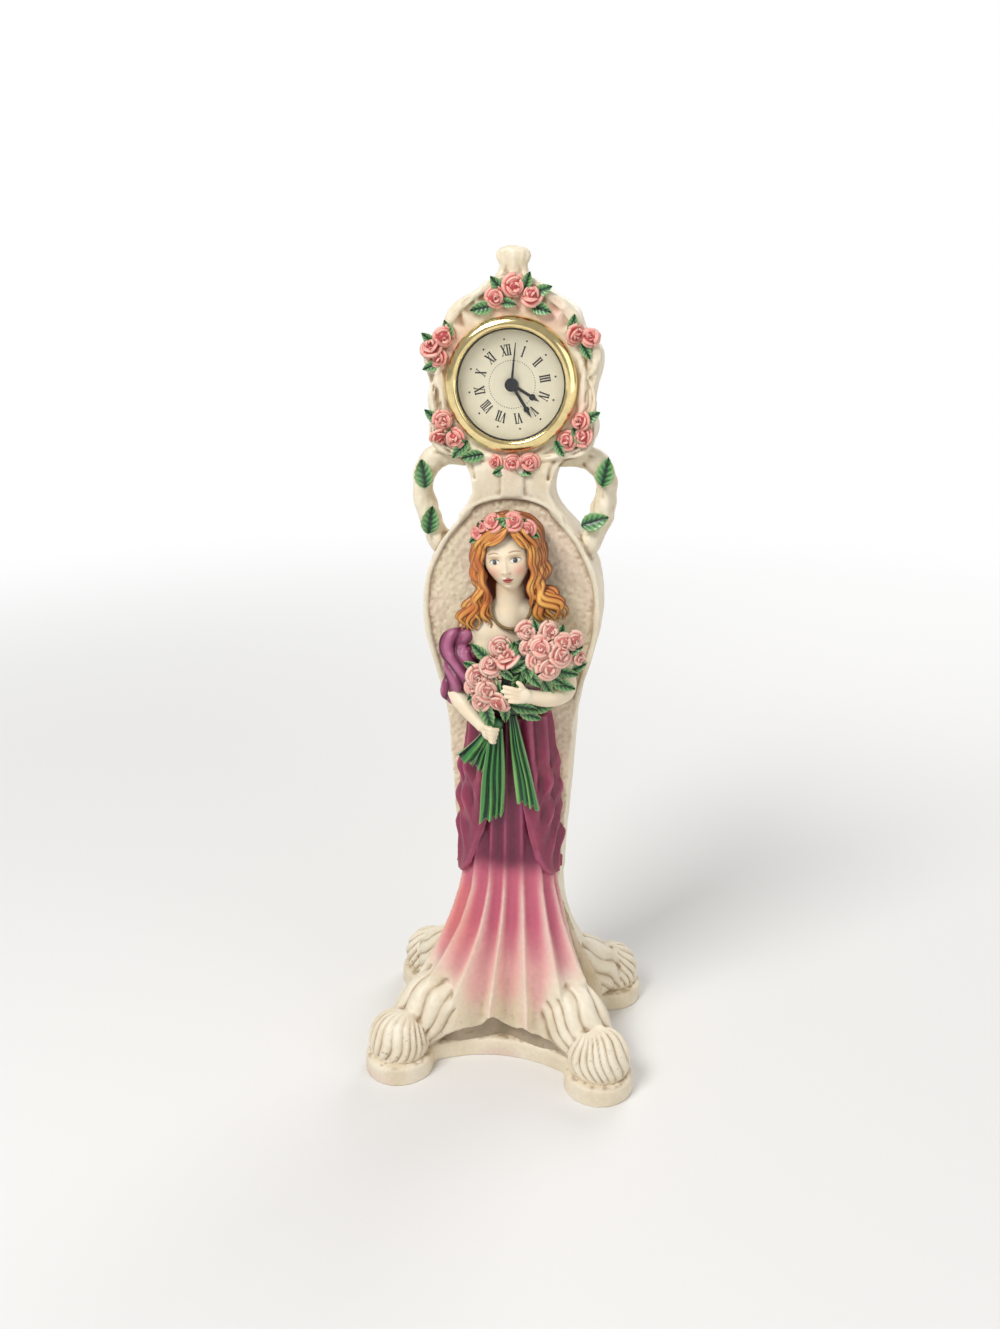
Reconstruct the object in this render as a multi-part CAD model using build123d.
from build123d import *
import math
import os

# Figural table clock, cold-cast resin case with a push-in quartz insert.
# Millimetres. +Z up, the front faces -Y, +X to the right of someone who looks at the front.
# The origin is under the middle of the plinth, on the surface that the clock stands on.

# Plinth with four round lobes
plinth_thickness = 8.0
plinth_edge_round = 1.8
lobe_radius = 14.1
lobe_blend_radius = 4.0
lobe_spacing_x = 83.0
lobe_spacing_y = 66.0
front_arc_apex = 20.8
front_arc_radius = 52.0
rear_arc_apex = 30.0
rear_arc_radius = 90.0
side_arc_apex = 34.0
side_arc_radius = 30.0

# Fluted paws on the lobes, and the fluted haunches behind them
paw_radius = 12.4
paw_height = 17.0
paw_flutes = 13
paw_flute_depth_share = 0.10
haunch_radius = 12.0
haunch_height = 29.0
haunch_flutes = 11
haunch_spacing_x = 60.0
haunch_front_y = 20.5
haunch_rear_y = 22.5

# Rear body: flared pedestal, flat vase-shaped panel and the clock head above it
body_depth = 24.0
pedestal_height = 62.0
panel_height = 180.0
panel_half_width = 34.8
rim_width = 2.2
rim_height = 1.2
rim_bottom_share = 0.47
strap_width = 7.0
strap_height = 1.8
rim_drop = 9.0
arch_width = 6.0
head_height = 63.5
head_half_width = 32.6
head_depth = 20.0

# Finial: a fan of ribs
finial_ribs = 5
finial_rib_radius = 1.9
finial_rib_tip_radius = 2.1
finial_reach = 9.2
finial_fan_deg = 10.0
finial_y = 9.0

# Branch handles
handle_radius = 4.5
handle_y = 7.0
handle_bend_radius = 7.0
handle_out = 35.4

# Skirt: fold count and the sizes of its sections
skirt_height = 142.0
skirt_hem_half_width = 33.0
skirt_hem_depth = 20.5
skirt_folds = 9
pedestal_hem_depth = 29.0

# Overskirt drapes
drape_half_width = 23.4
drape_depth = 16.9
drape_height = 68.0

# Figure
torso_height = 42.0
torso_half_width = 18.0
torso_depth = 13.0
head_ball_radius = 9.4
jaw_radius = 6.3
head_centre_z = 217.0
head_centre_y = 10.5
jaw_drop = 9.6
jaw_forward = 1.2
neck_radius = 4.6
hair_thickness = 2.2
hair_line_rise = 7.0
lock_radius = 3.75
arm_radius = 4.6
wrist_radius = 2.6
necklace_radius = 7.6
necklace_wire = 0.75
scarf_roll_radius = 4.2

# Flowers and leaves
rose_radius = 3.5
bud_radius = 2.3
leaf_length = 7.6
leaf_width = 4.2
leaf_thickness = 1.3
bouquet_radius = 7.6
ribbon_thickness = 2.6

# Clock insert: bezel, lens, dial and cup
clock_axis_z = 276.1
insert_turn_deg = -10.7
bezel_radius = 24.5
bezel_rise = 4.2
bezel_lip_radius = 20.1
bezel_skirt_radius = 22.0
bezel_skirt_wall = 1.0
bezel_skirt_length = 4.0
bore_radius = 22.25
lens_thickness = 1.0
lens_setback = 1.4
lens_seat_width = 0.5
dial_front_y = 1.6
dial_thickness = 0.4
dial_hole_radius = 2.6
cup_radius = 20.9
cup_wall = 1.0
cup_length = 14.2
grip_rib_count = 24
grip_ring_wall = 0.5
grip_ring_length = 8.0
grip_ring_start_y = 5.0
fit_clearance = 0.05
part_clearance = 0.3

# Movement plates and pillars
plate_thickness = 1.0
plate_radius = 19.7
plate_gap = 7.0
pillar_radius = 1.2
pillar_circle_radius = 15.6
pillar_angles = (70, 290, 175)

# Wheel train, seen from the front: angles run clockwise from twelve on the insert
second_shaft_radius = 0.35
minute_tube_radius = 0.85
hour_tube_radius = 1.45
running_clearance = 0.07
arbor_radius = 0.3
wheel_thickness = 0.6
pinion_thickness = 0.8
wheel_level_gap = 0.4
motion_module = 0.25
hour_wheel_teeth = 32
motion_pinion_teeth = 8
cannon_pinion_teeth = 10
motion_wheel_teeth = 30
setting_pinion_teeth = 15
motion_angle = 120
stud_radius = 0.5
centre_module = 0.16
centre_wheel_teeth = 64
third_pinion_teeth = 8
third_wheel_teeth = 60
second_pinion_teeth = 8
third_angle = 180
seconds_module = 0.165
second_wheel_teeth = 60
step_pinion_teeth = 10
step_angle = 30
rotor_module = 0.15
step_wheel_teeth = 40
rotor_pinion_teeth = 8
rotor_magnet_radius = 2.2
rotor_magnet_length = 1.5
stator_thickness = 0.8
stator_hole_gap = 0.45
stator_half_width = 11.0
stator_bottom = 5.8
stator_top = 15.2
coil_radius = 2.3
coil_length = 12.0
coil_rise = 13.4

# Battery, board and setting knob
battery_radius = 5.8
battery_height = 5.4
battery_angle = 255
battery_circle_radius = 11.9
board_thickness = 0.6
contact_thickness = 0.3
contact_width = 3.0
knob_radius = 3.4
knob_height = 2.0
knob_shaft_radius = 0.8
knob_grips = 16

# Hands
hand_thickness = 0.2
hand_level_gap = 0.35
hub_cap_radius = 2.45
hub_cap_height = 0.8
hour_hand_length = 11.9
minute_hand_length = 14.1
second_hand_length = 15.0
second_hand_tail = 2.4
hour_hand_deg = 120.5
minute_hand_deg = 148.0
second_hand_deg = 5.5
hand_stem_half_width = 0.55
hand_blob_share = 0.74
hand_blob_radius = 1.2
hand_hub_radius = 2.3

# Overrun of every cutting tool past what it cuts
overrun = 5.0

# Heights and places that follow from the sizes above
pedestal_top = plinth_thickness + pedestal_height
panel_top = pedestal_top + panel_height
head_top = panel_top + head_height
waist_z = plinth_thickness + skirt_height
neck_z = waist_z + torso_height
total_height = head_top + finial_reach + finial_rib_tip_radius


def prism(face, back_y, front_y):
    """A face drawn in x and z, run from back_y forward to front_y."""
    return extrude(Plane.XZ.offset(-back_y) * face, amount=back_y - front_y, dir=(0, -1, 0))


def rod(x, z, radius, back_y, front_y):
    """A round bar along Y."""
    middle = (back_y + front_y) / 2
    return Pos(x, middle, z) * Rot(90, 0, 0) * Cylinder(radius, back_y - front_y)


def tube(x, z, radius, bore, back_y, front_y):
    """A round bar along Y with a bore right through."""
    drill = rod(x, z, bore, back_y + overrun, front_y - overrun)
    return rod(x, z, radius, back_y, front_y) - drill


def front_space():
    """All the room in front of the panel's face."""
    size = total_height * 2
    return Pos(0, -total_height, total_height / 2) * Box(size, size, size)


def round_clock(angle, radius):
    """x and z of a place round the dial's axis, clockwise from the top."""
    turn = math.radians(angle)
    return radius * math.sin(turn), clock_axis_z + radius * math.cos(turn)


def outline_face(shares, width, height, bottom, inset):
    """A left-right symmetric face from shares of its half width and height, narrowed by the inset."""
    right = [(share_x * width - inset, bottom + share_z * height) for share_x, share_z in shares]
    left = [(-x, z) for x, z in right]
    edges = [Spline(*right), Line(right[-1], left[-1]), Spline(*left), Line(left[0], right[0])]
    return make_face(edges)


def wave_radius(angle, half_width, depth, power, corner):
    """Radius of a rounded section whose corners swell by the corner share."""
    across = abs(math.cos(angle)) / half_width
    along = abs(math.sin(angle)) / depth
    radius = (across ** power + along ** power) ** (-1 / power)
    diagonal = math.atan2(along, across)
    return radius * (1 + corner * math.sin(2 * diagonal) ** 2)


def half_section(z, half_width, depth, power, corner, folds, fold_share, side):
    """Half a section on the y = 0 plane; side -1 is the front half and +1 the rear half."""
    steps = max(4 * folds, 16)
    points = []
    for step in range(steps + 1):
        angle = math.pi * step / steps
        radius = wave_radius(angle, half_width, depth, power, corner)
        ends = math.sin(angle) ** 0.5
        radius *= 1 + fold_share * ends * math.cos(2 * math.pi * folds * step / steps)
        points.append((radius * math.cos(angle), side * radius * math.sin(angle), z))
    first = (points[0][0], 0, z)
    last = (points[-1][0], 0, z)
    points[0] = first
    points[-1] = last
    return make_face([Spline(*points), Line(last, first)])


def half_loft(rows, half_width, depth, height, bottom, folds, side):
    """A loft of half sections; each row gives its shares of the sizes."""
    faces = []
    for share_z, share_x, share_y, power, corner, fold_share in rows:
        z = bottom + share_z * height
        size_x = share_x * half_width
        size_y = share_y * depth
        faces.append(half_section(z, size_x, size_y, power, corner, folds, fold_share, side))
    return loft(faces)


def fluted_ball(x, y, bottom, height, radius, flutes, start_deg):
    """A squat ball with vertical flutes, flat underneath."""
    level_shares = [(0.0, 0.90), (0.22, 1.0), (0.5, 0.97), (0.75, 0.78), (0.92, 0.48), (1.0, 0.2)]
    faces = []
    for share_z, share_r in level_shares:
        points = []
        steps = 4 * flutes
        for step in range(steps):
            angle = 2 * math.pi * step / steps + math.radians(start_deg)
            wave = abs(math.cos(flutes * (angle - math.radians(start_deg)) / 2))
            reach = radius * share_r * (1 - paw_flute_depth_share * (1 - wave))
            place = (x + reach * math.cos(angle), y + reach * math.sin(angle))
            points.append((*place, bottom + share_z * height))
        faces.append(make_face(Spline(*points, periodic=True)))
    return loft(faces)


def limb_pieces(start, end, start_radius, end_radius):
    """The pieces of a round limb: a cone or a cylinder with a ball at each end."""
    line = Vector(*end) - Vector(*start)
    frame = Plane(origin=start, z_dir=line)
    middle = Pos(0, 0, line.length / 2)
    if start_radius == end_radius:
        core = Cylinder(start_radius, line.length)
    else:
        core = Cone(start_radius, end_radius, line.length)
    shaft = frame.location * middle * core
    return [shaft, Pos(*start) * Sphere(start_radius), Pos(*end) * Sphere(end_radius)]


def chain_pieces(points, radii):
    """The pieces of limbs one after another through a list of places."""
    pieces = [Pos(*points[0]) * Sphere(radii[0])]
    for index in range(len(points) - 1):
        limb = limb_pieces(points[index], points[index + 1], radii[index], radii[index + 1])
        pieces.extend((limb[0], limb[2]))
    return pieces


def fused(pieces):
    """All the pieces joined in one step."""
    return pieces[0].fuse(*pieces[1:])


def cut_near(shape, *tools):
    """Cuts a shape with each tool whose box meets its own."""
    for tool in tools:
        box = shape.bounding_box(optimal=False)
        other = tool.bounding_box(optimal=False)
        apart = (
            box.max.X < other.min.X or other.max.X < box.min.X
            or box.max.Y < other.min.Y or other.max.Y < box.min.Y
            or box.max.Z < other.min.Z or other.max.Z < box.min.Z
        )
        if not apart:
            shape = shape.cut(tool)
    return shape


def flower(x, y, z, radius):
    """The balls of a rose that opens towards -Y from y: five petals round a heart."""
    balls = [Pos(x, y - radius * 0.75, z) * Sphere(radius * 0.52)]
    for petal in range(5):
        turn = math.radians(72 * petal)
        place = Pos(radius * 0.52 * math.sin(turn), -radius * 0.35, radius * 0.52 * math.cos(turn))
        balls.append(Pos(x, y, z) * place * Sphere(radius * 0.48))
    return balls


def solids_above(shape, least_volume):
    """The solids of a shape without its crumbs."""
    kept = [solid for solid in shape.solids() if solid.volume > least_volume]
    return Compound(children=kept)


def leaf_face(length, width, angle):
    """Outline of a pointed leaf whose tip points at the angle, clockwise from the top."""
    arc_radius = (length ** 2 + width ** 2) / (4 * width)
    shift = arc_radius - width / 2
    face = (Pos(shift, 0) * Circle(arc_radius)) & (Pos(-shift, 0) * Circle(arc_radius))
    return Rot(0, 0, -angle) * face


def leaf(length, width, thickness, angle):
    """A pointed leaf flat on y = 0."""
    return prism(leaf_face(length, width, angle), 0, -thickness)


def gear_face(teeth, module, tooth_deg):
    """A stub-toothed wheel with one tooth centred at tooth_deg, clockwise from the top."""
    pitch = teeth * module / 2
    points = []
    for tooth in range(teeth):
        middle = tooth_deg + 360 * tooth / teeth
        for share, radius in ((-0.27, -1.0), (-0.12, 0.7), (0.12, 0.7), (0.27, -1.0)):
            turn = math.radians(middle + share * 360 / teeth)
            reach = pitch + radius * module
            points.append((reach * math.sin(turn), reach * math.cos(turn)))
    return Polygon(*points, align=None)


def gear(x, z, teeth, module, tooth_deg, back_y, front_y):
    """A toothed wheel along Y at x and z."""
    return prism(Pos(x, z) * gear_face(teeth, module, tooth_deg), back_y, front_y)


def base_plinth():
    """Flat plinth: four lobes with a hollow curve between each pair."""
    half_x = lobe_spacing_x / 2
    half_y = lobe_spacing_y / 2
    core = Rectangle(lobe_spacing_x, lobe_spacing_y)
    for x, y, radius in (
        (0, -front_arc_apex - front_arc_radius, front_arc_radius),
        (0, rear_arc_apex + rear_arc_radius, rear_arc_radius),
        (side_arc_apex + side_arc_radius, 0, side_arc_radius),
        (-side_arc_apex - side_arc_radius, 0, side_arc_radius),
    ):
        core -= Pos(x, y) * Circle(radius)
    for x in (-half_x, half_x):
        for y in (-half_y, half_y):
            core += Pos(x, y) * Circle(lobe_radius)
    core = fillet(core.vertices(), radius=lobe_blend_radius)
    plate = extrude(core, amount=plinth_thickness, dir=(0, 0, 1))
    top_edges = plate.edges().group_by(Axis.Z)[-1]
    return fillet(top_edges, plinth_edge_round)


skirt_row_shares = [
    (0.0, 1.0, 1.0, 2.0, 0.62, 0.035),
    (0.11, 0.95, 0.97, 2.0, 0.60, 0.035),
    (0.19, 0.86, 0.93, 2.0, 0.54, 0.035),
    (0.26, 0.76, 0.90, 2.0, 0.44, 0.035),
    (0.37, 0.65, 0.84, 2.1, 0.26, 0.03),
    (0.48, 0.56, 0.78, 2.2, 0.14, 0),
    (0.62, 0.53, 0.75, 2.3, 0.06, 0),
    (0.80, 0.50, 0.70, 2.3, 0.03, 0),
    (1.0, 0.41, 0.57, 2.2, 0.0, 0),
]
skirt_plain_row = 5


def skirt_stretch(rows):
    """Front half of the skirt along some of its rows."""
    width = skirt_hem_half_width
    return half_loft(rows, width, skirt_hem_depth, skirt_height, plinth_thickness, skirt_folds, -1)


def pedestal_solid():
    """Rear half of the flared foot, up to the straight panel."""
    top_width_share = 0.6 * panel_half_width / skirt_hem_half_width
    top_depth_share = body_depth / pedestal_hem_depth
    rows = [
        (0.0, 1.0, 1.0, 2.0, 0.52, 0),
        (0.25, 0.95, 0.96, 2.0, 0.47, 0),
        (0.43, 0.85, 0.91, 2.2, 0.36, 0),
        (0.62, 0.75, 0.87, 2.6, 0.2, 0),
        (0.84, 0.66, 0.84, 4.0, 0.06, 0),
        (1.0, top_width_share, top_depth_share, 8.0, 0, 0),
    ]
    width = skirt_hem_half_width
    depth = pedestal_hem_depth
    return half_loft(rows, width, depth, pedestal_height, plinth_thickness, 4, 1)


def panel_face(inset):
    """Outline of the vase-shaped panel, from the head down to the pedestal."""
    shares = [
        (0.57, 1.0), (0.47, 0.965), (0.425, 0.932), (0.435, 0.905), (0.53, 0.875),
        (0.69, 0.842), (0.86, 0.79), (0.95, 0.75), (0.995, 0.70), (1.0, 0.655),
        (0.965, 0.60), (0.88, 0.54), (0.79, 0.472), (0.74, 0.417), (0.705, 0.333),
        (0.68, 0.25), (0.65, 0.167), (0.615, 0.083), (0.60, 0.0),
    ]
    return outline_face(shares, panel_half_width, panel_height, pedestal_top, inset)


def vase_panel():
    """Flat vase-shaped body with a raised rim round its field and a strap up its neck."""
    rim_bottom = pedestal_top + rim_bottom_share * panel_height
    rim_top = panel_top - rim_drop
    field_top = rim_top - arch_width
    field_height = field_top - pedestal_top
    field_window = Rectangle(panel_half_width * 2, field_height)
    field = panel_face(rim_width) & (Pos(0, field_top - field_height / 2) * field_window)
    rim_window = Rectangle(panel_half_width * 3, rim_top - rim_bottom)
    rim_face = (panel_face(0) - field) & (Pos(0, (rim_top + rim_bottom) / 2) * rim_window)
    strap_face = Pos(0, rim_top - arch_width / 2) * Rectangle(strap_width, arch_width)
    rim = prism(rim_face, 0, -rim_height)
    return prism(panel_face(0), body_depth, 0).fuse(rim, prism(strap_face, 0, -strap_height))


def clock_head():
    """Shield-shaped head with the bore for the insert."""
    shares = [
        (0.13, 1.0), (0.24, 0.985), (0.36, 0.95), (0.45, 0.915), (0.56, 0.885),
        (0.70, 0.835), (0.75, 0.78), (0.80, 0.715), (0.95, 0.635), (1.0, 0.56),
        (0.965, 0.45), (0.925, 0.34), (0.92, 0.25), (0.955, 0.175), (0.93, 0.09),
        (0.82, 0.03), (0.57 * panel_half_width / head_half_width, 0.0),
    ]
    face = outline_face(shares, head_half_width, head_height, panel_top, 0)
    body = prism(face, head_depth, 0)
    return body - rod(0, clock_axis_z, bore_radius, head_depth + overrun, -overrun)


def finial():
    """Fan of ribs that crowns the head."""
    start = (0, finial_y, head_top - finial_rib_radius / 2)
    pieces = []
    for index in range(finial_ribs):
        turn = math.radians(finial_fan_deg * (index - (finial_ribs - 1) / 2))
        reach = finial_reach + finial_rib_radius / 2
        end = (start[0] + reach * math.sin(turn), finial_y, start[2] + reach * math.cos(turn))
        pieces.extend(limb_pieces(start, end, finial_rib_radius, finial_rib_tip_radius))
    return fused(pieces)


def handle_points(side):
    """Corner points of a handle's middle line, from the head round to the shoulder."""
    out_shares = (0.54, 0.82, 1.0, 1.0, 0.86, 0.70)
    drop_shares = (0.0, 0.03, 0.26, 0.56, 0.86, 1.05)
    drop = panel_height * 0.2
    top = panel_top - rim_height
    points = []
    for out_share, drop_share in zip(out_shares, drop_shares):
        points.append((side * out_share * handle_out, handle_y, top - drop_share * drop))
    return points


def handle(side, panel, head):
    """Round branch that loops from the head to the shoulder of the panel."""
    points = handle_points(side)
    path = FilletPolyline(*points, radius=handle_bend_radius)
    start = Plane(origin=points[0], z_dir=Vector(*points[1]) - Vector(*points[0]))
    branch = sweep(start * Circle(handle_radius), path=path)
    return branch - panel - head


def handle_leaf_group(handles):
    """Two leaves on the front of each handle."""
    places = ((1.0, 0.24, 10), (0.93, 0.78, 60))
    drop = panel_height * 0.2
    top = panel_top - rim_height
    front = handle_y - handle_radius
    group = []
    for side in (-1, 1):
        for out_share, drop_share, angle in places:
            x = side * out_share * handle_out
            z = top - drop_share * drop
            blade = leaf(leaf_length * 1.25, leaf_width * 1.3, leaf_thickness * 2, side * angle)
            group.append(Pos(x, front + leaf_thickness, z) * blade - handles[side])
    return Compound(children=group)


def torso_solid():
    """Bust and bodice down to the waist."""
    rows = [
        (0.0, 0.74, 0.86, 2.0, 0, 0),
        (0.2, 0.70, 0.80, 2.0, 0, 0),
        (0.45, 0.80, 0.94, 2.0, 0, 0),
        (0.66, 0.93, 1.0, 2.0, 0, 0),
        (0.82, 1.0, 0.80, 2.2, 0, 0),
        (0.93, 0.74, 0.66, 2.2, 0, 0),
        (1.0, 0.40, 0.62, 2.0, 0, 0),
    ]
    return half_loft(rows, torso_half_width, torso_depth, torso_height, waist_z, 4, -1)


def head_solid(torso):
    """Plain egg-shaped head on its neck."""
    crown = (0, -head_centre_y, head_centre_z)
    chin = (0, -head_centre_y - jaw_forward, head_centre_z - jaw_drop)
    throat = (0, -head_centre_y + jaw_forward, head_centre_z - jaw_drop)
    neck_foot = (0, -torso_depth / 2, neck_z - neck_radius)
    pieces = limb_pieces(crown, chin, head_ball_radius, jaw_radius)
    pieces += limb_pieces(throat, neck_foot, neck_radius, neck_radius)
    return fused(pieces) - torso


def lock_places(side):
    """Places down the middle of the long outer lock at one side."""
    side_shares = (1.16, 1.42, 1.30, 1.62, 1.84, 1.50)
    drop_shares = (-0.5, 0.6, 1.5, 2.3, 3.0, 3.5)
    points = []
    for side_share, drop_share in zip(side_shares, drop_shares):
        x = side * side_share * head_ball_radius
        z = head_centre_z - drop_share * head_ball_radius
        points.append((x, -torso_depth / 2, z))
    return points


def hair_solid(head, torso):
    """Cap of hair with long waved locks at each side."""
    ball = head_ball_radius + hair_thickness
    cap = Pos(0, -head_centre_y + hair_thickness, head_centre_z + hair_thickness) * Sphere(ball)
    face_window = Box(head_ball_radius * 1.5, head_ball_radius * 2, head_ball_radius * 4)
    window_top = head_centre_z + hair_line_rise - head_ball_radius * 2
    cap -= Pos(0, -head_centre_y - head_ball_radius, window_top) * face_window
    radius_shares = (1.0, 1.1, 1.0, 0.95, 0.85, 0.5)
    pieces = [cap]
    for side in (-1, 1):
        pieces += chain_pieces(lock_places(side), [share * lock_radius for share in radius_shares])
        inner = [(side * head_ball_radius * 0.95, -torso_depth * 0.8, head_centre_z - jaw_drop)]
        inner.append((side * head_ball_radius, -torso_depth * 0.95, neck_z))
        inner.append((side * head_ball_radius * 0.8, -torso_depth, neck_z - jaw_drop))
        pieces += chain_pieces(inner, [lock_radius * 0.75, lock_radius * 0.8, lock_radius * 0.4])
    return (fused(pieces) & front_space()) - head - torso


def wreath_places():
    """Places of the wreath's roses over the forehead, and each rose's share of the bud size."""
    places = []
    for angle, size_share in ((-62, 1.0), (-38, 1.2), (-13, 1.1), (12, 1.25), (37, 1.1), (62, 1.0)):
        turn = math.radians(angle)
        reach = head_ball_radius + hair_thickness
        x = reach * math.sin(turn)
        z = head_centre_z + hair_thickness + reach * math.cos(turn)
        y = -head_centre_y - bud_radius + abs(x) * 0.35
        places.append((x, y, z, size_share))
    return places


def wreath_rose_group():
    """Row of small roses on the hair."""
    ball = head_ball_radius + hair_thickness + part_clearance
    cap = Pos(0, -head_centre_y + hair_thickness, head_centre_z + hair_thickness) * Sphere(ball)
    pieces = []
    for x, y, z, size_share in wreath_places():
        pieces.extend(flower(x, y, z, bud_radius * size_share))
    lock_ball = Sphere(lock_radius + part_clearance)
    lock_balls = [Pos(*lock_places(side)[0]) * lock_ball for side in (-1, 1)]
    return solids_above(fused(pieces) - cap - lock_balls, bud_radius ** 3 / 2)


def wreath_leaf_group(hair, head, roses):
    """Small leaves between the wreath's roses."""
    blades = []
    places = wreath_places()
    for index in range(len(places) - 1):
        x = (places[index][0] + places[index + 1][0]) / 2
        y = (places[index][1] + places[index + 1][1]) / 2 + bud_radius
        z = (places[index][2] + places[index + 1][2]) / 2
        blade = leaf(leaf_length * 0.7, leaf_width * 0.7, leaf_thickness, 4 * x)
        blade = cut_near(Pos(x, y, z) * blade, hair, head, *roses.solids())
        blades.append(max(blade.solids(), key=lambda solid: solid.volume))
    return Compound(children=blades)


def necklace(torso, head, hair):
    """Fine chain round the neck, a third of a ring against the chest."""
    ring = Pos(0, -torso_depth * 0.62, neck_z + necklace_wire) * Rot(28, 0, 0)
    shape = ring * Torus(necklace_radius, necklace_wire)
    reach = total_height * 2
    lower = Pos(0, -total_height - torso_depth * 0.72, neck_z) * Box(reach, reach, reach)
    return (shape & lower) - torso - head - hair


def arm_points(side):
    """Shoulder, elbow, wrist and fingertips of one arm; side +1 is the viewer's right."""
    if side > 0:
        shares = ((0.98, 0.42, 0.78), (1.22, 0.85, 0.28), (0.60, 1.62, 0.35), (0.20, 1.72, 0.42))
    else:
        shares = ((-0.95, 0.42, 0.76), (-1.14, 0.80, 0.25), (-0.50, 1.45, 0.0), (-0.20, 1.58, -0.10))
    return [
        (share_x * torso_half_width, -share_y * torso_depth, waist_z + share_z * torso_height)
        for share_x, share_y, share_z in shares
    ]


def arm(side, torso):
    """Upper arm, forearm and a simple hand."""
    shoulder, elbow, wrist, tips = arm_points(side)
    radii = [arm_radius, arm_radius * 0.85, wrist_radius, wrist_radius * 0.8]
    pieces = chain_pieces([shoulder, elbow, wrist, tips], radii)
    return fused(pieces) - torso


def scarf(torso, arms, hair):
    """Rolled burgundy cloth round the upper arm on the viewer's left."""
    side_shares = (0.72, 1.12, 1.26, 1.16, 0.92)
    rise_shares = (0.80, 0.72, 0.55, 0.36, 0.22)
    points = []
    for side_share, rise_share in zip(side_shares, rise_shares):
        x = -side_share * torso_half_width
        points.append((x, -torso_depth * 0.5, waist_z + rise_share * torso_height))
    radii = [scarf_roll_radius * share for share in (0.7, 1.1, 1.2, 1.0, 0.7)]
    shape = fused(chain_pieces(points, radii)) & front_space()
    return cut_near(shape, torso, arms[-1], hair)


def bouquet_places():
    """Where each rose of the bouquet sits: shares of the torso's half width, depth and height."""
    shares = [
        (0.50, 1.55, 0.90, 1.0), (0.95, 1.50, 0.91, 0.9), (1.45, 1.40, 0.84, 0.95),
        (-0.05, 1.60, 0.75, 1.0), (0.82, 1.75, 0.78, 1.1), (1.20, 1.68, 0.71, 1.05),
        (0.14, 1.80, 0.66, 1.1), (-0.25, 1.75, 0.57, 1.0), (0.96, 1.80, 0.59, 1.0),
        (-0.52, 1.60, 0.46, 1.05), (-0.32, 1.78, 0.36, 1.1), (-0.46, 1.60, 0.24, 1.0),
        (-0.06, 1.75, 0.27, 1.05), (1.56, 1.30, 0.65, 0.7),
    ]
    return [
        (share_x * torso_half_width, -share_y * torso_depth, waist_z + share_z * torso_height, size)
        for share_x, share_y, share_z, size in shares
    ]


def bouquet_mound():
    """Leafy body of the bouquet, under the roses."""
    shares = ((-0.38, 0.98, 0.30), (0.18, 1.05, 0.52), (0.82, 1.0, 0.66), (1.12, 0.85, 0.72))
    points = [
        (share_x * torso_half_width, -share_y * torso_depth, waist_z + share_z * torso_height)
        for share_x, share_y, share_z in shares
    ]
    radii = [bouquet_radius * share for share in (0.85, 1.1, 1.15, 0.85)]
    return chain_pieces(points, radii)


def bouquet_rose_group(torso, arms):
    """Open roses of the bouquet, each with a short stalk back into the leaves."""
    pieces = []
    for x, y, z, size_share in bouquet_places():
        pieces.extend(flower(x, y, z, rose_radius * size_share))
    return solids_above(cut_near(fused(pieces), torso, arms[-1], arms[1]), bud_radius ** 3)


def bouquet_leaf_group(torso, arms, roses, hair, cloth):
    """The bouquet's leafy mound with leaves that stand out of it."""
    shares = [
        (-0.42, 1.45, 0.70, -50), (0.20, 1.60, 0.80, 20), (0.56, 1.70, 0.62, 10),
        (0.30, 1.72, 0.50, 70), (-0.10, 1.72, 0.44, -30), (1.12, 1.50, 0.86, 40),
        (1.42, 1.40, 0.74, 60), (1.34, 1.40, 0.54, 120), (1.16, 1.50, 0.42, 140),
        (-0.66, 1.35, 0.26, -110), (-0.20, 1.55, 0.06, 190), (0.52, 1.55, 0.20, 170),
        (0.82, 1.50, 0.20, 150),
    ]
    pieces = bouquet_mound()
    for share_x, share_y, share_z, angle in shares:
        x = share_x * torso_half_width
        y = -share_y * torso_depth
        z = waist_z + share_z * torso_height
        blade = leaf(leaf_length, leaf_width, bouquet_radius * 0.8, angle)
        pieces.append(Pos(x, y + bouquet_radius * 0.7, z) * blade)
    shape = cut_near(fused(pieces), torso, arms[-1], arms[1], *roses.solids(), hair, cloth)
    return solids_above(shape, bud_radius ** 3)


left_ribbon_shares = (
    (-0.02, -0.03), (-0.34, -0.03), (-0.78, -0.24), (-0.42, -0.30), (-0.36, -0.66), (-0.02, -0.60),
)
right_ribbon_shares = ((0.04, -0.03), (0.28, -0.03), (0.62, -0.52), (0.30, -0.58), (0.22, -0.5))


def ribbon(points_share, hand):
    """One flat tail of the bouquet's ribbon, hung over the skirt."""
    points = [
        (share_x * drape_half_width, waist_z + share_z * drape_height)
        for share_x, share_z in points_share
    ]
    back = -drape_depth - part_clearance
    return prism(Polygon(*points, align=None), back, back - ribbon_thickness) - hand


def drape(side, under):
    """Side drape of the overskirt with a scalloped edge, over the plain part of the skirt."""
    rows = [
        (0.0, 0.98, 0.98, 2.4, 0, 0),
        (0.35, 1.0, 1.0, 2.4, 0, 0),
        (0.75, 0.98, 0.97, 2.3, 0, 0),
        (1.0, 0.74, 0.80, 2.2, 0, 0),
    ]
    bottom = waist_z - drape_height
    body = half_loft(rows, drape_half_width, drape_depth, drape_height, bottom, 4, -1)
    shares = [
        (0.10, 1.0), (0.30, 0.62), (0.42, 0.36), (0.58, 0.22), (0.80, 0.02),
        (0.96, 0.06), (1.10, 0.20), (1.10, 1.0),
    ]
    points = [
        (side * share_x * drape_half_width, bottom + share_z * drape_height)
        for share_x, share_z in shares
    ]
    window = prism(Polygon(*points, align=None), 0, -drape_depth * 1.2)
    return (body & window) - under


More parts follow.
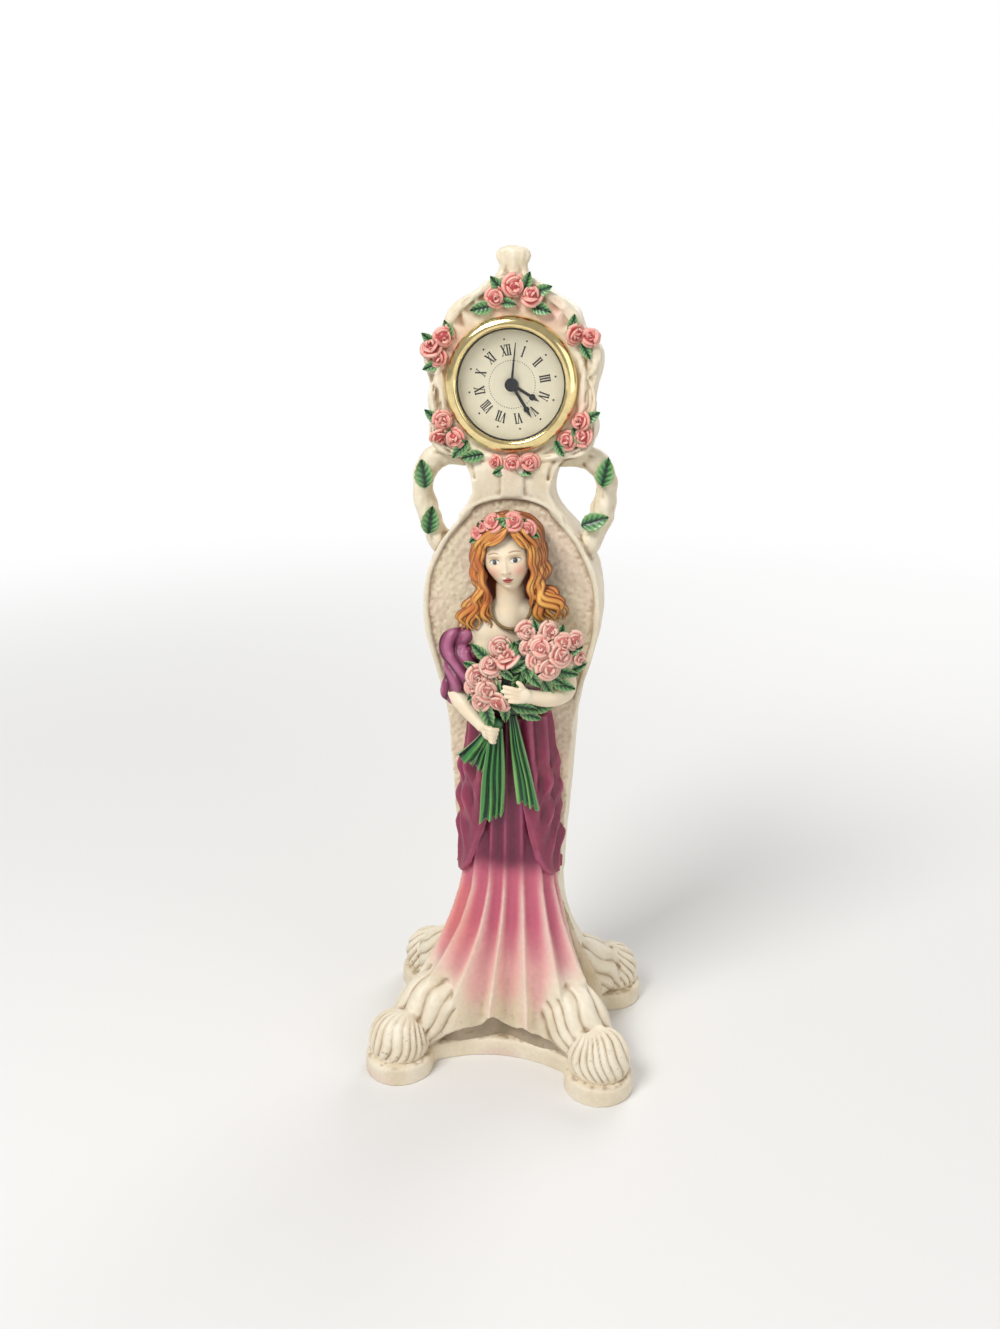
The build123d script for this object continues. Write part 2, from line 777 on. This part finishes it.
spray_rose_shares = {
    "top_roses": ((1.5, 1.416, 1.0), (-10.5, 1.27, 1.0), (13.5, 1.31, 1.0)),
    "upper_left_roses": ((-56.0, 1.24, 1.0), (-66.5, 1.31, 1.0), (-71.0, 1.16, 0.8)),
    "upper_right_roses": ((52.0, 1.20, 1.0), (60.0, 1.35, 0.95)),
    "lower_left_roses": ((-117.0, 1.17, 0.95), (-124.5, 1.35, 1.0), (-133.0, 1.17, 1.0)),
    "lower_right_roses": ((116.0, 1.17, 0.95), (124.0, 1.33, 1.0), (133.0, 1.17, 0.95)),
    "bottom_roses": ((178.5, 1.16, 0.9), (166.0, 1.17, 0.9), (191.5, 1.16, 0.8)),
}

spray_leaf_shares = {
    "top_roses": (
        (-8, 1.42, -40), (-22, 1.17, -100), (-4, 1.18, 100), (9, 1.49, 20), (19, 1.42, 70),
        (22, 1.18, 110),
    ),
    "upper_left_roses": ((-50, 1.18, -30), (-62, 1.40, -70), (-77, 1.24, -120)),
    "upper_right_roses": ((46, 1.22, 20), (66, 1.22, 120), (63, 1.42, 60)),
    "lower_left_roses": ((-111, 1.24, -60), (-128, 1.22, 20), (-141, 1.20, -140), (-150, 1.16, -160)),
    "lower_right_roses": ((110, 1.24, 60), (125, 1.22, 160), (141, 1.19, 150)),
    "bottom_roses": ((172, 1.27, 230), (185, 1.27, 130)),
}


def spray_rose_places(name):
    """Centre and size of each rose of a cluster; none reaches over the bezel."""
    places = []
    for angle, radius_share, size_share in spray_rose_shares[name]:
        size = rose_radius * size_share
        least = bezel_radius + part_clearance + size
        places.append((*round_clock(angle, max(radius_share * bezel_radius, least)), size))
    return places


def spray_roses(name):
    """One cluster of roses on the clock head."""
    pieces = []
    for x, z, size in spray_rose_places(name):
        pieces.extend(flower(x, 0, z, size))
    return fused(pieces) & front_space()


def spray_leaves():
    """All the leaves round the dial, flat on the head and clear of the roses."""
    round_bezel = Pos(0, clock_axis_z) * Circle(bezel_radius + part_clearance)
    blades = []
    for name, places in spray_leaf_shares.items():
        taken = [Pos(x, z) * Circle(size + part_clearance) for x, z, size in spray_rose_places(name)]
        for angle, radius_share, tip_angle in places:
            x, z = round_clock(angle, radius_share * bezel_radius)
            face = Pos(x, z) * leaf_face(leaf_length, leaf_width, tip_angle)
            for other in (round_bezel, *taken):
                face -= other
            face = max(face.faces(), key=lambda piece: piece.area)
            taken.append(face)
            blades.append(prism(face, 0, -leaf_thickness))
    return Compound(children=blades)


def bezel():
    """Rolled metal ring with its skirt into the bore."""
    lens_front = -bezel_rise + lens_setback
    lens_back = lens_front + lens_thickness
    pocket = bezel_lip_radius + lens_seat_width
    outer = [
        (bezel_skirt_radius - bezel_skirt_wall, bezel_skirt_length),
        (bezel_skirt_radius, bezel_skirt_length),
        (bezel_skirt_radius, 0),
        (bezel_radius, 0),
        (bezel_radius, -bezel_rise * 0.28),
        (bezel_radius * 0.985, -bezel_rise * 0.50),
        (bezel_radius * 0.90, -bezel_rise * 0.95),
        (bezel_radius * 0.87, -bezel_rise),
        (bezel_radius * 0.85, -bezel_rise * 0.97),
        (bezel_lip_radius, lens_front),
        (pocket, lens_front),
        (pocket, lens_back),
        (bezel_lip_radius, lens_back),
        (bezel_lip_radius, dial_front_y),
        (bezel_skirt_radius - bezel_skirt_wall, dial_front_y),
    ]
    profile = Plane.XY * Polygon(*outer, align=None)
    ring = revolve(profile, axis=Axis.Y)
    return Pos(0, 0, clock_axis_z) * ring


def lens():
    """Clear flat lens in the bezel's groove."""
    front = -bezel_rise + lens_setback
    radius = bezel_lip_radius + lens_seat_width - fit_clearance
    return rod(0, clock_axis_z, radius, front + lens_thickness, front)


def dial():
    """Printed dial disc with the hole for the hand tubes."""
    radius = bezel_skirt_radius - bezel_skirt_wall - fit_clearance
    back = dial_front_y + dial_thickness
    return tube(0, clock_axis_z, radius, dial_hole_radius, back, dial_front_y)


def on_insert(angle, radius):
    """x and z of a place on the turned insert, clockwise from its own twelve."""
    return round_clock(angle + insert_turn_deg, radius)


plate_front_y = dial_front_y + dial_thickness
plate_back_y = plate_front_y + plate_thickness
rear_plate_front_y = plate_back_y + plate_gap
rear_plate_back_y = rear_plate_front_y + plate_thickness
cup_back_y = plate_front_y + cup_length
motion_distance = motion_module * (hour_wheel_teeth + motion_pinion_teeth) / 2
setting_distance = motion_module * (motion_wheel_teeth + setting_pinion_teeth) / 2
third_distance = centre_module * (centre_wheel_teeth + third_pinion_teeth) / 2
third_module = 2 * third_distance / (third_wheel_teeth + second_pinion_teeth)
step_distance = seconds_module * (second_wheel_teeth + step_pinion_teeth) / 2
rotor_distance = rotor_module * (step_wheel_teeth + rotor_pinion_teeth) / 2
hour_wheel_y = plate_back_y + wheel_level_gap
cannon_y = hour_wheel_y + pinion_thickness + wheel_level_gap / 2
centre_y = cannon_y + pinion_thickness + wheel_level_gap
third_y = centre_y + wheel_thickness + wheel_level_gap
second_y = third_y + wheel_thickness + wheel_level_gap
step_y = second_y + wheel_thickness + wheel_level_gap


def motion_place():
    return on_insert(motion_angle, motion_distance)


def setting_place():
    return on_insert(motion_angle, motion_distance + setting_distance)


def third_place():
    return on_insert(third_angle, third_distance)


def step_place():
    return on_insert(step_angle, step_distance)


def rotor_place():
    return on_insert(step_angle, step_distance + rotor_distance)


def battery_place():
    return on_insert(battery_angle, battery_circle_radius)


def insert_cup():
    """Black cup behind the dial, with holes for the battery and the setting knob."""
    inner = cup_radius - cup_wall
    shape = rod(0, clock_axis_z, cup_radius, cup_back_y, plate_front_y)
    shape -= rod(0, clock_axis_z, inner, cup_back_y - cup_wall, plate_front_y - overrun)
    shape -= rod(*battery_place(), battery_radius + part_clearance, cup_back_y + overrun, plate_front_y)
    hole = knob_shaft_radius + running_clearance
    shape -= rod(*setting_place(), hole, cup_back_y + overrun, plate_front_y)
    return shape


def grip_ring():
    """Ribbed sleeve round the cup that grips the bore."""
    back = grip_ring_start_y + grip_ring_length
    wall_radius = cup_radius + grip_ring_wall
    shape = rod(0, clock_axis_z, wall_radius, back, grip_ring_start_y)
    reach = bore_radius - fit_clearance
    for index in range(grip_rib_count):
        angle = 360 * index / grip_rib_count
        x, z = round_clock(angle, wall_radius)
        shape += rod(x, z, reach - wall_radius, back, grip_ring_start_y)
    return shape - rod(0, clock_axis_z, cup_radius, back + overrun, grip_ring_start_y - overrun)


def pivot_holes(front_y, back_y):
    """Bearing holes of the third, step and rotor arbors in one plate."""
    radius = arbor_radius + running_clearance
    holes = rod(*third_place(), radius, back_y + overrun, front_y - overrun)
    holes += rod(*step_place(), radius, back_y + overrun, front_y - overrun)
    holes += rod(*rotor_place(), radius, back_y + overrun, front_y - overrun)
    return holes


def front_plate():
    """Plate behind the dial with the hand bush, the motion stud and three pillars."""
    bush_bore = hour_tube_radius + running_clearance
    shape = rod(0, clock_axis_z, plate_radius, plate_back_y, plate_front_y)
    shape -= pivot_holes(plate_front_y, plate_back_y)
    shape -= rod(0, clock_axis_z, bush_bore, plate_back_y + overrun, plate_front_y - overrun)
    stud_end = cannon_y + pinion_thickness
    shape += rod(*motion_place(), stud_radius, stud_end, plate_back_y)
    for angle in pillar_angles:
        place = on_insert(angle, pillar_circle_radius)
        shape += rod(*place, pillar_radius, rear_plate_front_y, plate_back_y)
    return shape


def rear_plate():
    """Plate that closes the train, with the battery well."""
    shape = rod(0, clock_axis_z, plate_radius, rear_plate_back_y, rear_plate_front_y)
    shape -= pivot_holes(rear_plate_front_y, rear_plate_back_y)
    bore = second_shaft_radius + running_clearance
    shape -= rod(0, clock_axis_z, bore, rear_plate_back_y + overrun, rear_plate_front_y - overrun)
    well = battery_radius + part_clearance
    shape -= rod(*battery_place(), well, rear_plate_back_y + overrun, rear_plate_front_y - overrun)
    hole = knob_shaft_radius + running_clearance
    shape -= rod(*setting_place(), hole, rear_plate_back_y + overrun, rear_plate_front_y - overrun)
    return shape


def battery():
    """Button cell in its well."""
    return rod(*battery_place(), battery_radius, cup_back_y, cup_back_y - battery_height)


def battery_contacts():
    """Two spring strips, one under the cell and one along its side to the board."""
    x, z = battery_place()
    turn = Rot(0, 0, -battery_angle - insert_turn_deg)
    cell_front = cup_back_y - battery_height
    inside = Pos(x, z) * turn * Rectangle(contact_width, battery_radius * 2 + contact_width / 2)
    under = prism(inside, cell_front, cell_front - contact_thickness)
    under -= rear_plate()
    angle = math.radians(battery_angle + insert_turn_deg)
    inner_edge = battery_radius + contact_thickness / 2
    side_x = x - inner_edge * math.sin(angle)
    side_z = z - inner_edge * math.cos(angle)
    tab = Pos(side_x, side_z) * turn * Rectangle(contact_width, contact_thickness)
    return Compound(children=[under, prism(tab, cup_back_y - cup_wall, rear_plate_back_y)])


def circuit_board():
    """Small board behind the rear plate, clear of the cell, the knob shaft and the pivots."""
    front = rear_plate_back_y
    back = front + board_thickness
    shape = rod(0, clock_axis_z, plate_radius * 0.94, back, front)
    cutter = battery_radius + contact_thickness * 3 + part_clearance
    shape -= rod(*battery_place(), cutter, back + overrun, front - overrun)
    shape -= rod(*setting_place(), knob_shaft_radius * 2, back + overrun, front - overrun)
    return shape


def stator_level():
    """Middle level of the stator and the rotor's magnet."""
    return (plate_back_y + rear_plate_front_y) / 2


def insert_frame_point(x, z):
    """A place drawn on the upright insert, turned with it."""
    turn = math.radians(insert_turn_deg)
    out_x = x * math.cos(turn) + z * math.sin(turn)
    out_z = z * math.cos(turn) - x * math.sin(turn)
    return out_x, clock_axis_z + out_z


def insert_rectangle(x_low, x_high, z_low, z_high, back_y, front_y):
    """A block drawn on the upright insert, turned with it."""
    corners = ((x_low, z_low), (x_high, z_low), (x_high, z_high), (x_low, z_high))
    points = [insert_frame_point(x, z) for x, z in corners]
    return prism(Polygon(*points, align=None), back_y, front_y)


def stator():
    """Flat iron yoke with the rotor's hole and two legs for the coil core."""
    middle = stator_level()
    back = middle + stator_thickness / 2
    front = middle - stator_thickness / 2
    wide = stator_half_width
    shape = insert_rectangle(-wide, wide, stator_bottom, stator_top, back, front)
    window_top = stator_top + overrun
    window_bottom = coil_rise - coil_radius - part_clearance
    half = coil_length / 2 + part_clearance
    shape -= insert_rectangle(-half, half, window_bottom, window_top, back + overrun, front - overrun)
    hole = rotor_magnet_radius + stator_hole_gap
    shape -= rod(*rotor_place(), hole, back + overrun, front - overrun)
    shape -= rod(*step_place(), arbor_radius + part_clearance, back + overrun, front - overrun)
    return shape


def coil():
    """Wound coil on its core, between the stator's legs."""
    middle = stator_level()
    half = coil_length / 2
    centre = insert_frame_point(0, coil_rise)
    turn = Rot(0, insert_turn_deg, 0)
    body = Pos(centre[0], middle, centre[1]) * turn * Rot(0, 90, 0) * Cylinder(coil_radius, coil_length)
    reach = half + part_clearance
    core_half = stator_thickness
    core = insert_rectangle(
        -reach, reach, coil_rise - core_half, coil_rise + core_half,
        middle + stator_thickness / 2, middle - stator_thickness / 2,
    )
    return body + core


def hour_wheel():
    """Hour wheel with the tube that carries the hour hand."""
    bore = minute_tube_radius + running_clearance
    turned = insert_turn_deg + motion_angle
    back = hour_wheel_y + wheel_thickness
    shape = gear(0, clock_axis_z, hour_wheel_teeth, motion_module, turned, back, hour_wheel_y)
    shape += rod(0, clock_axis_z, hour_tube_radius, back, hour_hand_y)
    return shape - rod(0, clock_axis_z, bore, back + overrun, hour_hand_y - overrun)


def motion_wheel():
    """Motion wheel with its pinion, on the plate's stud."""
    x, z = motion_place()
    inward = motion_angle + insert_turn_deg + 180
    gap_turn = 180 / motion_wheel_teeth
    wheel = gear(x, z, motion_wheel_teeth, motion_module, inward + gap_turn,
                 cannon_y + pinion_thickness * 0.9, cannon_y + pinion_thickness * 0.1)
    pinion_turn = 180 / motion_pinion_teeth
    pinion = gear(x, z, motion_pinion_teeth, motion_module, inward + pinion_turn,
                  cannon_y + pinion_thickness * 0.1, hour_wheel_y - wheel_level_gap / 2)
    bore = stud_radius + fit_clearance
    return wheel + pinion - rod(x, z, bore, cannon_y + overrun, plate_back_y - overrun)


def cannon_pinion():
    """Cannon pinion, its tube for the minute hand, and the centre wheel on it."""
    turned = insert_turn_deg + motion_angle
    front = minute_hand_y
    back = centre_y + wheel_thickness
    bore = second_shaft_radius + running_clearance
    shape = gear(0, clock_axis_z, cannon_pinion_teeth, motion_module, turned,
                 cannon_y + pinion_thickness, cannon_y)
    shape += rod(0, clock_axis_z, minute_tube_radius, back, front)
    wheel_turn = insert_turn_deg + third_angle
    shape += gear(0, clock_axis_z, centre_wheel_teeth, centre_module, wheel_turn, back, centre_y)
    return shape - rod(0, clock_axis_z, bore, back + overrun, front - overrun)


def third_wheel():
    """Third wheel and pinion on one arbor between the plates."""
    x, z = third_place()
    inward = third_angle + insert_turn_deg + 180
    shape = rod(x, z, arbor_radius, rear_plate_back_y, plate_front_y)
    pinion_turn = inward + 180 / third_pinion_teeth
    shape += gear(x, z, third_pinion_teeth, centre_module, pinion_turn,
                  centre_y + pinion_thickness, centre_y - wheel_level_gap / 4)
    wheel_turn = inward + 180 / third_wheel_teeth
    shape += gear(x, z, third_wheel_teeth, third_module, wheel_turn, third_y + wheel_thickness, third_y)
    return shape


def second_wheel():
    """Seconds wheel and pinion on the long shaft that carries the second hand."""
    shape = rod(0, clock_axis_z, second_shaft_radius, rear_plate_back_y, second_hand_y)
    pinion_turn = insert_turn_deg + third_angle
    shape += gear(0, clock_axis_z, second_pinion_teeth, third_module, pinion_turn,
                  third_y + pinion_thickness, third_y - wheel_level_gap / 4)
    wheel_turn = insert_turn_deg + step_angle
    shape += gear(0, clock_axis_z, second_wheel_teeth, seconds_module, wheel_turn,
                  second_y + wheel_thickness, second_y)
    return shape


def step_wheel():
    """Wheel and pinion between the seconds wheel and the rotor."""
    x, z = step_place()
    outward = step_angle + insert_turn_deg
    shape = rod(x, z, arbor_radius, rear_plate_back_y, plate_front_y)
    pinion_turn = outward + 180 + 180 / step_pinion_teeth
    shape += gear(x, z, step_pinion_teeth, seconds_module, pinion_turn,
                  second_y + pinion_thickness, second_y - wheel_level_gap / 4)
    shape += gear(x, z, step_wheel_teeth, rotor_module, outward, step_y + wheel_thickness, step_y)
    return shape


def rotor():
    """Magnet rotor of the stepping motor with its pinion."""
    x, z = rotor_place()
    middle = stator_level()
    half = rotor_magnet_length / 2
    shape = rod(x, z, arbor_radius, rear_plate_back_y, plate_front_y)
    shape += rod(x, z, rotor_magnet_radius, middle + half, middle - half)
    inward = step_angle + insert_turn_deg + 180
    pinion_turn = inward + 180 / rotor_pinion_teeth
    shape += gear(x, z, rotor_pinion_teeth, rotor_module, pinion_turn,
                  step_y + wheel_thickness, step_y - wheel_level_gap / 4)
    return shape


def setting_knob():
    """Knob behind the cup with its shaft and the pinion on the motion wheel."""
    x, z = setting_place()
    inward = motion_angle + insert_turn_deg + 180
    front = cannon_y
    shape = rod(x, z, knob_shaft_radius, cup_back_y + part_clearance, front)
    shape += gear(x, z, setting_pinion_teeth, motion_module, inward,
                  cannon_y + pinion_thickness * 0.9, cannon_y + pinion_thickness * 0.1)
    back = cup_back_y + part_clearance + knob_height
    knob = Circle(knob_radius)
    for index in range(knob_grips):
        turn = math.radians(360 * index / knob_grips)
        notch = Pos(knob_radius * math.sin(turn), knob_radius * math.cos(turn))
        knob -= notch * Circle(knob_radius * 0.1)
    return shape + prism(Pos(x, z) * knob, back, cup_back_y + part_clearance)


hour_hand_y = dial_front_y - hand_level_gap - hand_thickness
minute_hand_y = hour_hand_y - hand_level_gap - hand_thickness
second_hand_y = minute_hand_y - hand_level_gap - hand_thickness


def clock_hand(length, blob_radius, bore, back_y, angle):
    """Flat hand with a round swelling and a pointed tip."""
    blob = length * hand_blob_share
    stem = Pos(0, blob / 2) * Rectangle(hand_stem_half_width * 2, blob)
    tip = Polygon((blob_radius * 0.6, blob + blob_radius * 0.6), (0, length),
                  (-blob_radius * 0.6, blob + blob_radius * 0.6), align=None)
    face = Circle(hand_hub_radius) + stem + Pos(0, blob) * Circle(blob_radius) + tip
    face -= Circle(bore)
    placed = Pos(0, clock_axis_z) * Rot(0, 0, -angle) * face
    return prism(placed, back_y, back_y - hand_thickness)


def hour_hand():
    bore = hour_tube_radius
    back = hour_hand_y + hand_thickness
    return clock_hand(hour_hand_length, hand_blob_radius, bore, back, hour_hand_deg)


def minute_hand():
    back = minute_hand_y + hand_thickness
    blob = hand_blob_radius * 0.9
    return clock_hand(minute_hand_length, blob, minute_tube_radius, back, minute_hand_deg)


def second_hand():
    """Fine tapered hand under a round cap."""
    half = hand_stem_half_width
    blade = Polygon((-half, -second_hand_tail), (half, -second_hand_tail),
                    (half * 0.3, second_hand_length), (-half * 0.3, second_hand_length), align=None)
    placed = Pos(0, clock_axis_z) * Rot(0, 0, -second_hand_deg) * blade
    front = second_hand_y - hand_thickness
    shape = prism(placed, second_hand_y, front)
    return shape + rod(0, clock_axis_z, hub_cap_radius, second_hand_y, second_hand_y - hub_cap_height)


def build():
    """Every node of the clock by name."""
    parts = {}
    plinth = base_plinth()
    skirt_upper = skirt_stretch(skirt_row_shares[skirt_plain_row:])
    skirt = skirt_stretch(skirt_row_shares[:skirt_plain_row + 1]).fuse(skirt_upper)
    pedestal = pedestal_solid()
    parts["base_plinth"] = plinth
    parts["skirt"] = skirt
    parts["pedestal"] = pedestal

    for end, y_side, y_place in (("front", -1, haunch_front_y), ("rear", 1, haunch_rear_y)):
        haunches = []
        for side in (-1, 1):
            ball = fluted_ball(side * haunch_spacing_x / 2, y_side * y_place, plinth_thickness,
                               haunch_height, haunch_radius, haunch_flutes, 90 * y_side)
            ball = ball - skirt - pedestal
            haunches.append(max(ball.solids(), key=lambda solid: solid.volume))
        parts[end + "_haunches"] = Compound(children=haunches)
        for side, side_name in ((-1, "left"), (1, "right")):
            paw = fluted_ball(side * lobe_spacing_x / 2, y_side * lobe_spacing_y / 2,
                              plinth_thickness, paw_height, paw_radius, paw_flutes, 90 * y_side)
            paw = paw - skirt - pedestal
            for haunch in haunches:
                paw = paw - haunch
            parts[end + "_" + side_name + "_paw"] = max(paw.solids(), key=lambda solid: solid.volume)

    panel = vase_panel()
    head_shield = clock_head()
    parts["clock_head"] = head_shield
    parts["finial"] = finial() - head_shield

    drapes = {side: drape(side, skirt_upper) for side in (-1, 1)}
    torso = torso_solid()
    face_head = head_solid(torso)
    hair = hair_solid(face_head, torso)
    arms = {side: cut_near(arm(side, torso), hair) for side in (-1, 1)}
    parts["vase_panel"] = panel
    handles = {side: handle(side, panel, head_shield) for side in (-1, 1)}
    parts["left_handle"] = handles[-1]
    parts["right_handle"] = handles[1]
    parts["handle_leaves"] = handle_leaf_group(handles)
    parts["overskirt_left"] = drapes[-1]
    parts["overskirt_right"] = drapes[1]
    parts["torso"] = torso
    parts["head"] = face_head
    parts["hair"] = hair
    parts["left_arm"] = arms[1]
    parts["right_arm"] = arms[-1]
    cloth = scarf(torso, arms, hair)
    parts["sleeve_scarf"] = cloth
    parts["necklace"] = necklace(torso, face_head, hair)
    wreath_blooms = wreath_rose_group()
    parts["wreath_roses"] = wreath_blooms
    parts["wreath_leaves"] = wreath_leaf_group(hair, face_head, wreath_blooms)
    blooms = bouquet_rose_group(torso, arms)
    parts["bouquet_roses"] = blooms
    parts["bouquet_leaves"] = bouquet_leaf_group(torso, arms, blooms, hair, cloth)
    parts["ribbon_left"] = ribbon(left_ribbon_shares, arms[-1])
    parts["ribbon_right"] = ribbon(right_ribbon_shares, arms[-1])

    for name in spray_rose_shares:
        parts[name] = spray_roses(name)
    parts["spray_leaves"] = spray_leaves()

    parts["bezel"] = bezel()
    parts["lens"] = lens()
    parts["dial"] = dial()
    parts["insert_cup"] = insert_cup()
    parts["grip_ring"] = grip_ring()
    parts["front_plate"] = front_plate()
    parts["rear_plate"] = rear_plate()
    parts["battery"] = battery()
    parts["battery_contacts"] = battery_contacts()
    parts["circuit_board"] = circuit_board()
    parts["stator"] = stator()
    parts["coil"] = coil()
    parts["hour_wheel"] = hour_wheel()
    parts["motion_wheel"] = motion_wheel()
    parts["cannon_pinion"] = cannon_pinion()
    parts["third_wheel"] = third_wheel()
    parts["second_wheel"] = second_wheel()
    parts["step_wheel"] = step_wheel()
    parts["rotor"] = rotor()
    parts["setting_knob"] = setting_knob()
    parts["hour_hand"] = hour_hand()
    parts["minute_hand"] = minute_hand()
    parts["second_hand"] = second_hand()
    return parts


if __name__ == "__main__":
    os.makedirs("parts", exist_ok=True)
    for node, shape in build().items():
        export_step(shape, "parts/" + node + ".step")
